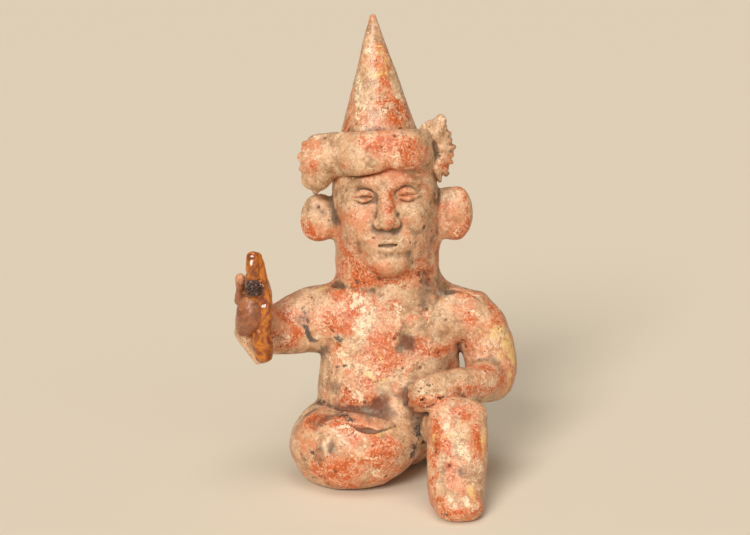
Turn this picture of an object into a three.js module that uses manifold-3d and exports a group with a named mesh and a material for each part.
// A seated clay figure: one leg folded flat, one knee up, a tall cone hat with a rolled band,
// a ragged rosette and a disc at each ear, and a short rod held up in its right hand.
// Millimetres, +Z up. The figure faces -Y, so its right hand is on the -X side.
import * as THREE from "three";
import { mergeVertices } from "three/addons/utils/BufferGeometryUtils.js";
import Module from "manifold-3d";

const wasm = await Module();
wasm.setup();

const CLEARANCE = 0.3; // gap between the held rod and the hand around it
const MERGE_WITHIN = 1e-3;
const GROUND_BLOCK = 600; // side of the block that cuts the underside flat

// Body sections from the ground up: centre, half width across X, half depth along Y.
const TORSO = [
  { at: [-28, 18, 10], wide: 26, deep: 26 },
  { at: [-1, 4, 50], wide: 64, deep: 46 },
  { at: [0.5, -3, 72], wide: 67, deep: 51 },
  { at: [1, -1, 104], wide: 64.5, deep: 47 },
  { at: [1, 2, 138], wide: 62, deep: 42 },
  { at: [2, 4, 164], wide: 56, deep: 36 },
  { at: [-1, 6, 186], wide: 46, deep: 35 },
];
const NECK = [
  { at: [-2, 6, 172], wide: 46, deep: 33 },
  { at: [-1, 6, 200], wide: 48.5, deep: 38 },
  { at: [-2, 9, 232], wide: 45, deep: 40 },
];

// The figure's right arm, held out to the side with the forearm raised.
const RIGHT_UPPER_ARM = [
  { at: [-46, 2, 146], wide: 34, deep: 30 },
  { at: [-74, 0, 143], wide: 31, deep: 27 },
  { at: [-98, -8, 137], wide: 25, deep: 24 },
  { at: [-112, -18, 138], wide: 21, deep: 22 },
];
const RIGHT_FOREARM = [
  { at: [-115, -22, 142], wide: 20, deep: 18 },
  { at: [-121, -32, 158], wide: 17, deep: 14 },
  { at: [-124, -37, 172], wide: 13, deep: 10 },
];
const RIGHT_FINGERS = [
  { at: [-128, -44, 156], wide: 10, deep: 13 },
  { at: [-122, -54, 158], wide: 8, deep: 12 },
];
const RIGHT_THUMB = [
  { at: [-130, -38, 166], wide: 6, deep: 6 },
  { at: [-133, -40, 193], wide: 4.5, deep: 5 },
];

// The figure's left arm, with the forearm laid across the lap.
const LEFT_UPPER_ARM = [
  { at: [48, 4, 147], wide: 31, deep: 29 },
  { at: [74, 2, 147], wide: 26.5, deep: 27 },
  { at: [92, -3, 120], wide: 24.5, deep: 25 },
  { at: [95, -12, 94], wide: 23, deep: 23 },
];
const LEFT_FOREARM = [
  { at: [95, -16, 92], wide: 22, deep: 21 },
  { at: [78, -46, 96], wide: 17, deep: 18 },
  { at: [52, -72, 100], wide: 16, deep: 15 },
  { at: [28, -86, 100], wide: 14.5, deep: 9 },
];

// The figure's left leg, with the knee up and the foot flat on the ground.
const LEFT_THIGH = [
  { at: [38, 4, 53], wide: 29, deep: 29 },
  { at: [52, -42, 62], wide: 28, deep: 28 },
  { at: [60, -78, 66], wide: 27, deep: 26 },
];
const LEFT_SHIN = [
  { at: [60.5, -82, 76], wide: 27, deep: 24 },
  { at: [60, -98, 44], wide: 27, deep: 24 },
  { at: [59, -112, 18], wide: 25.5, deep: 24 },
];
const LEFT_FOOT = [
  { at: [59, -104, 14], wide: 25.5, deep: 22 },
  { at: [61, -133, 12], wide: 21.5, deep: 15 },
];

// The figure's right leg, folded flat on the ground with the shin back across the front.
const RIGHT_THIGH = [
  { at: [-26, 14, 36], wide: 37, deep: 32 },
  { at: [-46, 0, 36], wide: 37, deep: 32 },
  { at: [-60, -28, 34], wide: 35.5, deep: 31.5 },
];
const RIGHT_SHIN = [
  { at: [-60, -33, 34], wide: 37, deep: 32 },
  { at: [-43, -54, 35], wide: 37, deep: 29.5 },
  { at: [-12, -56, 38], wide: 34, deep: 27 },
  { at: [9, -47, 42], wide: 26, deep: 22 },
];

// The lap's filling, where the folded shin is pressed against the thigh and the belly.
const LAP = [
  { at: [-34, -12, 30], wide: 26, deep: 26 },
  { at: [-4, -22, 36], wide: 26, deep: 22 },
];

// The figure's left buttock, which stands on the ground behind the raised leg.
const LEFT_BUTTOCK = [
  { at: [26, 15, 54], wide: 36, deep: 35 },
  { at: [57, 19, 30], wide: 30, deep: 34 },
];

// The head is built in a frame of its own at the neck, and leans back and to its right.
const HEAD_PIVOT = [0, 2, 200];
const HEAD_LEAN_BACK = 8;
const HEAD_ROLL = 3;
const HEAD_WIDTH = 97;
const HEAD_HEIGHT = 144; // chin to crown, the crown being inside the hat
const CHIN = -10;
const EYE_LINE = CHIN + HEAD_HEIGHT / 2;
const HAIRLINE = CHIN + (HEAD_HEIGHT * 7) / 8;
const FACE_THIRD = (HAIRLINE - CHIN) / 3;
const BROW = HAIRLINE - FACE_THIRD;
const NOSE_BASE = BROW - FACE_THIRD;
const MOUTH = NOSE_BASE - FACE_THIRD / 3;
const EYE_WIDTH = HEAD_WIDTH / 5;
const MOUTH_WIDTH = EYE_WIDTH * 1.5;
const HEAD = [
  { at: [0, -12, CHIN + 13], wide: 34, deep: 34 },
  { at: [0, -9, MOUTH - 4], wide: 41, deep: 40 },
  { at: [0, -5, NOSE_BASE + 6], wide: 46.5, deep: 46 },
  { at: [0, -2, EYE_LINE], wide: HEAD_WIDTH / 2, deep: 49 },
  { at: [0, 0, BROW + 14], wide: 47, deep: 48 },
  { at: [0, 1, BROW + 30], wide: 48, deep: 50 },
];

// The face stands proud of the head: sizes in the head's own frame, at its front.
const NOSE = [
  { at: [0, -46, BROW - 6], wide: 5, deep: 4 },
  { at: [0, -51, (BROW + NOSE_BASE) / 2], wide: 6.5, deep: 6 },
  { at: [0, -55, NOSE_BASE + 7], wide: 8, deep: 7 },
];
const NOSTRIL_WING = { at: [7, -51, NOSE_BASE + 5], radii: [4, 5, 4.5] };
const EYEBALL = { at: [EYE_WIDTH, -43.5, EYE_LINE], radii: [EYE_WIDTH / 2, 6, 6] };
const EYE_SLIT = { at: [EYE_WIDTH, -48, EYE_LINE], radii: [EYE_WIDTH * 0.4, 4, 0.9] };
const UPPER_LIP = { at: [0, -46, MOUTH + 2.4], radii: [MOUTH_WIDTH / 2, 6, 4] };
const LOWER_LIP = { at: [0, -46, MOUTH - 2.6], radii: [MOUTH_WIDTH / 2, 6, 4] };
const MOUTH_SLIT = { at: [0, -52, MOUTH], radii: [MOUTH_WIDTH * 0.4, 5, 1.1] };
const CHIN_BALL = { at: [0, -37, CHIN + 11], radii: [21, 10.5, 13] };

const BAND = { centre: [-0.5, 0, 97], wide: 50, deep: 52, thick: 10, high: 19, slope: 5.5 };
const BAND_SQUARE = 2.8; // over 2, so the roll's section is a rounded block
const HAT = { centre: [-3, 0], foot: 104, tip: 225, radius: 39, tipRadius: 3.5 };
const EAR_DISC_TAPER = 0.8; // the outer face's size as a share of the inner one's
const EAR_DISCS = [
  { at: [-62, 0, 41], wide: 20, high: 24, thick: 14, turn: -28 },
  { at: [59, 0, 38.5], wide: 21, high: 27.5, thick: 14, turn: 28 },
];
const LOBE = [
  { share: 0, wide: 8, deep: 12 },
  { share: 0.5, wide: 9, deep: 11 },
  { share: 0.8, wide: 6, deep: 6 },
];
const ROSETTES = [
  { at: [-55, -6, 92], reach: 23, rise: 26, lobes: 6, from: 100, to: 262, turn: -12 },
  { at: [44, -4, 100], reach: 22, rise: 31, lobes: 6, from: -78, to: 102, turn: 12 },
];

const ROD = {
  upper: [
    { at: [-115.5, -55, 172], wide: 8, deep: 8 },
    { at: [-116.5, -56, 196], wide: 9.5, deep: 9 },
    { at: [-118.5, -57, 214], wide: 7.5, deep: 8 },
  ],
  middle: [
    { at: [-115.5, -56, 184], wide: 8.5, deep: 7 },
    { at: [-110, -54, 144], wide: 8.5, deep: 7 },
  ],
  lower: [
    { at: [-111.5, -55, 146], wide: 9, deep: 9 },
    { at: [-113, -56, 129], wide: 10, deep: 9.5 },
  ],
};

const CLAY = new THREE.MeshStandardMaterial({ color: 0xc98a66, roughness: 0.55, metalness: 0 });
const AMBER = new THREE.MeshStandardMaterial({ color: 0x8f4a10, roughness: 0.15, metalness: 0 });

// Turns a closed three.js geometry into a solid that can be joined and cut.
function toSolid(geometry) {
  const bare = geometry.clone();
  bare.deleteAttribute("normal");
  bare.deleteAttribute("uv");
  const merged = mergeVertices(bare, MERGE_WITHIN);
  const mesh = new wasm.Mesh({
    numProp: 3,
    vertProperties: merged.attributes.position.array,
    triVerts: new Uint32Array(merged.index.array),
  });
  return new wasm.Manifold(mesh);
}

function toGeometry(solid) {
  const mesh = solid.getMesh();
  const geometry = new THREE.BufferGeometry();
  geometry.setAttribute("position", new THREE.BufferAttribute(mesh.vertProperties, 3));
  geometry.setIndex(new THREE.BufferAttribute(mesh.triVerts, 1));
  return geometry;
}

function join(solids) {
  return solids.reduce((whole, next) => whole.add(next));
}

// A rounded limb: a capsule bent along its stations, its round section stretched to each
// station's half width (along `side`) and half depth, with `square` over 2 for boxier sections.
function limb(stations, options = {}) {
  const { side = [1, 0, 0], square = 2, caps = [1, 1], grow = 0 } = options;
  const { around = 20, along = 6, capRows = 2 } = options;
  const geometry = new THREE.CapsuleGeometry(1, 1, capRows, around, along);
  const spine = new THREE.CatmullRomCurve3(stations.map((s) => new THREE.Vector3(...s.at)));
  const girth = new THREE.CatmullRomCurve3(
    stations.map((s) => new THREE.Vector3(s.wide + grow, s.deep + grow, 0)),
  );
  const hint = new THREE.Vector3(...side);
  const position = geometry.attributes.position;
  for (let i = 0; i < position.count; i++) {
    const height = position.getY(i);
    const t = THREE.MathUtils.clamp(height + 0.5, 0, 1);
    const overshoot = height + 0.5 - t;
    const tangent = spine.getTangent(t);
    const across = hint.clone().addScaledVector(tangent, -hint.dot(tangent)).normalize();
    const up = new THREE.Vector3().crossVectors(across, tangent);
    const size = girth.getPoint(t);
    const turn = Math.atan2(position.getZ(i), position.getX(i));
    const bulge = (Math.abs(Math.cos(turn)) ** square + Math.abs(Math.sin(turn)) ** square) ** (-1 / square);
    const capLength = (overshoot < 0 ? caps[0] : caps[1]) * Math.min(size.x, size.y);
    const point = spine
      .getPoint(t)
      .addScaledVector(tangent, overshoot * capLength)
      .addScaledVector(across, position.getX(i) * size.x * bulge)
      .addScaledVector(up, position.getZ(i) * size.y * bulge);
    position.setXYZ(i, point.x, point.y, point.z);
  }
  return geometry;
}

function ellipsoid(at, radii, around = 16, rows = 10) {
  const geometry = new THREE.SphereGeometry(1, around, rows);
  geometry.scale(...radii);
  geometry.translate(...at);
  return geometry;
}

// The same ellipsoid on both sides of the head.
function pair({ at, radii }, around, rows) {
  const [x, y, z] = at;
  return [ellipsoid([-x, y, z], radii, around, rows), ellipsoid([x, y, z], radii, around, rows)];
}

// Moves a geometry from the head's own frame to the figure's.
function onHead(geometry) {
  const lean = new THREE.Euler(
    THREE.MathUtils.degToRad(-HEAD_LEAN_BACK),
    THREE.MathUtils.degToRad(-HEAD_ROLL),
    0,
  );
  const matrix = new THREE.Matrix4().makeRotationFromEuler(lean).setPosition(...HEAD_PIVOT);
  return geometry.applyMatrix4(matrix);
}

function makeBody() {
  return join([
    toSolid(limb(TORSO, { around: 28, along: 10, caps: [0.3, 0.4], square: 2.2 })),
    toSolid(limb(NECK, { around: 26, along: 3, capRows: 1, caps: [0.3, 0.3] })),
  ]);
}

function makeArms() {
  const vertical = [0, 0, 1];
  return join([
    toSolid(limb(RIGHT_UPPER_ARM, { side: vertical })),
    toSolid(limb(RIGHT_FOREARM, { around: 14, along: 4 })),
    toSolid(limb(RIGHT_FINGERS, { around: 12, along: 2 })),
    toSolid(limb(RIGHT_THUMB, { around: 8, along: 3 })),
    toSolid(limb(LEFT_UPPER_ARM, { side: [1, 0, 0.6] })),
    toSolid(limb(LEFT_FOREARM, { side: vertical, along: 7, capRows: 3 })),
  ]);
}

function makeLegs() {
  const vertical = [0, 0, 1];
  return join([
    toSolid(limb(LEFT_THIGH, { around: 18, along: 4 })),
    toSolid(limb(LEFT_SHIN, { along: 5, square: 2.5, caps: [0.5, 0.6] })),
    toSolid(limb(LEFT_FOOT, { along: 3, capRows: 3, square: 2.3, caps: [0.4, 1] })),
    toSolid(limb(RIGHT_THIGH, { side: vertical, around: 18, along: 4, caps: [0.8, 1] })),
    toSolid(limb(RIGHT_SHIN, { side: vertical, around: 22 })),
    toSolid(limb(LAP, { side: vertical, around: 12, along: 2 })),
    toSolid(limb(LEFT_BUTTOCK, { around: 14, along: 2 })),
  ]);
}

function makeFace() {
  const parts = [
    limb(NOSE, { around: 10, along: 4 }),
    ...pair(NOSTRIL_WING, 8, 5),
    ...pair(EYEBALL, 10, 6),
    ellipsoid(UPPER_LIP.at, UPPER_LIP.radii, 10, 6),
    ellipsoid(LOWER_LIP.at, LOWER_LIP.radii, 10, 6),
    ellipsoid(CHIN_BALL.at, CHIN_BALL.radii, 10, 6),
  ];
  return join(parts.map((part) => toSolid(onHead(part))));
}

function cutFace(head) {
  const cuts = [ellipsoid(MOUTH_SLIT.at, MOUTH_SLIT.radii, 10, 4), ...pair(EYE_SLIT, 8, 4)];
  return cuts.reduce((solid, cut) => solid.subtract(toSolid(onHead(cut))), head);
}

function makeHat() {
  const { centre, foot, tip, radius, tipRadius } = HAT;
  const slope = (radius - tipRadius) / (tip - tipRadius - foot);
  const profile = [new THREE.Vector2(0, foot), new THREE.Vector2(radius, foot)];
  const rings = 4;
  for (let i = 1; i <= rings; i++) {
    const height = THREE.MathUtils.lerp(foot, tip - tipRadius, i / rings);
    profile.push(new THREE.Vector2(radius - slope * (height - foot), height));
  }
  for (const angle of [30, 60]) {
    const turn = THREE.MathUtils.degToRad(angle);
    profile.push(
      new THREE.Vector2(tipRadius * Math.cos(turn), tip - tipRadius + tipRadius * Math.sin(turn)),
    );
  }
  profile.push(new THREE.Vector2(0, tip));
  const cone = new THREE.LatheGeometry(profile, 22);
  cone.rotateX(Math.PI / 2);
  cone.translate(centre[0], centre[1], 0);
  return toSolid(onHead(cone));
}

function makeBand() {
  const { centre, wide, deep, thick, high, slope } = BAND;
  const ring = new THREE.TorusGeometry(1, 0.5, 8, 30);
  const position = ring.attributes.position;
  for (let i = 0; i < position.count; i++) {
    const [x, y, z] = [position.getX(i), position.getY(i), position.getZ(i)];
    const turn = Math.atan2(y, x);
    const out = (Math.hypot(x, y) - 1) * 2;
    const up = z * 2;
    const bulge = (Math.abs(out) ** BAND_SQUARE + Math.abs(up) ** BAND_SQUARE) ** (-1 / BAND_SQUARE);
    const radiusX = wide + out * bulge * thick;
    const radiusY = deep + out * bulge * thick;
    position.setXYZ(i, Math.cos(turn) * radiusX, Math.sin(turn) * radiusY, up * bulge * high);
  }
  ring.rotateX(THREE.MathUtils.degToRad(-slope));
  ring.translate(...centre);
  return toSolid(onHead(ring));
}

function makeEarDisc({ at, wide, high, thick, turn }) {
  const disc = new THREE.CylinderGeometry(EAR_DISC_TAPER, 1, 1, 18, 1);
  disc.scale(wide, thick, high);
  disc.rotateZ(THREE.MathUtils.degToRad(turn) + Math.PI);
  disc.translate(...at);
  return toSolid(onHead(disc));
}

// A fan of short lobes that start at one middle and end on an oval of `reach` by `rise`.
function makeRosette({ at, reach, rise, lobes, from, to, turn }) {
  const parts = [];
  for (let i = 0; i < lobes; i++) {
    const angle = THREE.MathUtils.degToRad(from + ((to - from) * i) / (lobes - 1));
    const tip = new THREE.Vector3(Math.cos(angle) * reach, 0, Math.sin(angle) * rise);
    const stations = LOBE.map(({ share, wide, deep }) => ({
      at: tip.clone().multiplyScalar(share).toArray(),
      wide,
      deep,
    }));
    const side = [-Math.sin(angle), 0, Math.cos(angle)];
    const lobe = limb(stations, { side, around: 7, along: 2 });
    lobe.rotateZ(THREE.MathUtils.degToRad(turn));
    lobe.translate(...at);
    parts.push(toSolid(onHead(lobe)));
  }
  return join(parts);
}

function makeHead() {
  const skull = toSolid(onHead(limb(HEAD, { around: 26, along: 9, caps: [0.6, 0.2], square: 2.15 })));
  return join([
    cutFace(skull.add(makeFace())),
    makeHat(),
    makeBand(),
    ...EAR_DISCS.map(makeEarDisc),
    ...ROSETTES.map(makeRosette),
  ]);
}

function makeRod(grow) {
  const options = { around: 12, along: 3, capRows: 3, grow };
  return join(Object.values(ROD).map((stations) => toSolid(limb(stations, options))));
}

function makeGround() {
  const ground = new THREE.BoxGeometry(GROUND_BLOCK, GROUND_BLOCK, GROUND_BLOCK);
  ground.translate(0, 0, -GROUND_BLOCK / 2);
  return toSolid(ground);
}

function makeFigure() {
  return join([makeBody(), makeArms(), makeLegs(), makeHead()])
    .subtract(makeGround())
    .subtract(makeRod(CLEARANCE));
}

const figure = new THREE.Mesh(toGeometry(makeFigure()), CLAY);
figure.name = "figure";
const rod = new THREE.Mesh(toGeometry(makeRod(0)), AMBER);
rod.name = "held_implement";

// The origin is on the ground, under the middle of the whole figure.
const group = new THREE.Group();
group.add(figure, rod);
const bounds = new THREE.Box3().setFromObject(group);
const middle = bounds.getCenter(new THREE.Vector3());
figure.position.set(-middle.x, -middle.y, -bounds.min.z);
rod.position.copy(figure.position);

export default group;
